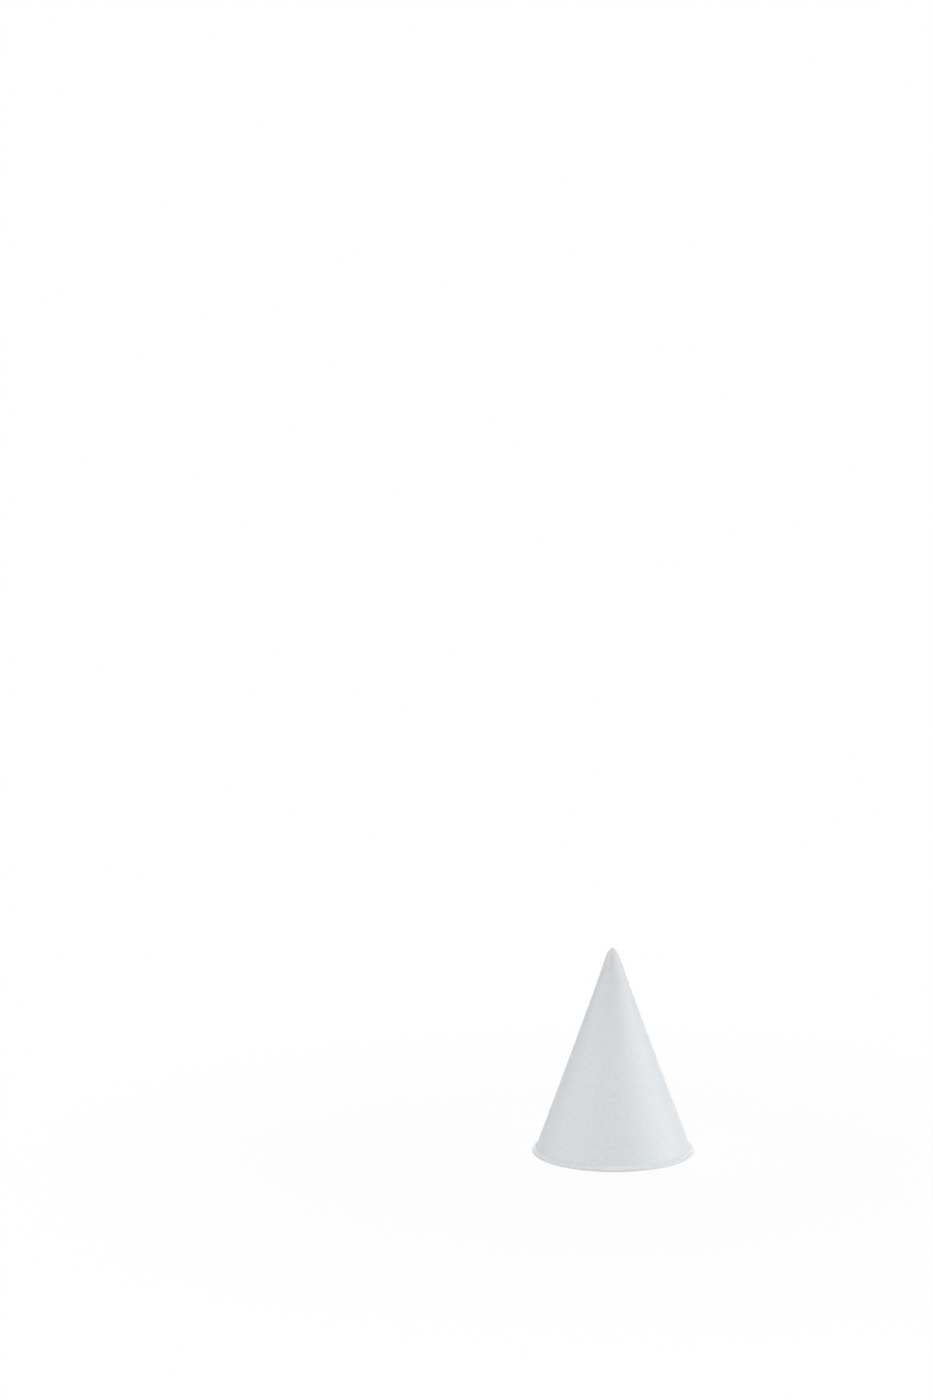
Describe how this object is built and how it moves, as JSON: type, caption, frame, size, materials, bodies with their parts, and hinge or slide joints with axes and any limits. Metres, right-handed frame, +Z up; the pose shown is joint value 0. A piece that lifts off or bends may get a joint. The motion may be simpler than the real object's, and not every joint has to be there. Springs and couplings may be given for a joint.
{
  "type": "cone paper cup",
  "caption": "Conical paper drinking cup with a blunt closed tip, a glued back seam and an outward rolled rim, stored mouth down on its rim.",
  "frame": {"origin": "centre of the mouth on the plane that the rolled rim stands on", "axes": "+Z up from the mouth to the tip, -Y to the front, the glued seam runs down the back at +Y"},
  "size_m": [0.0729, 0.0731, 0.0928],
  "materials": {
    "cup_paper": "matt uncoated white cup paper with a fine fibre mottle"
  },
  "bodies": {
    "root": {"cup": "cup_paper"}
  },
  "joints": []
}
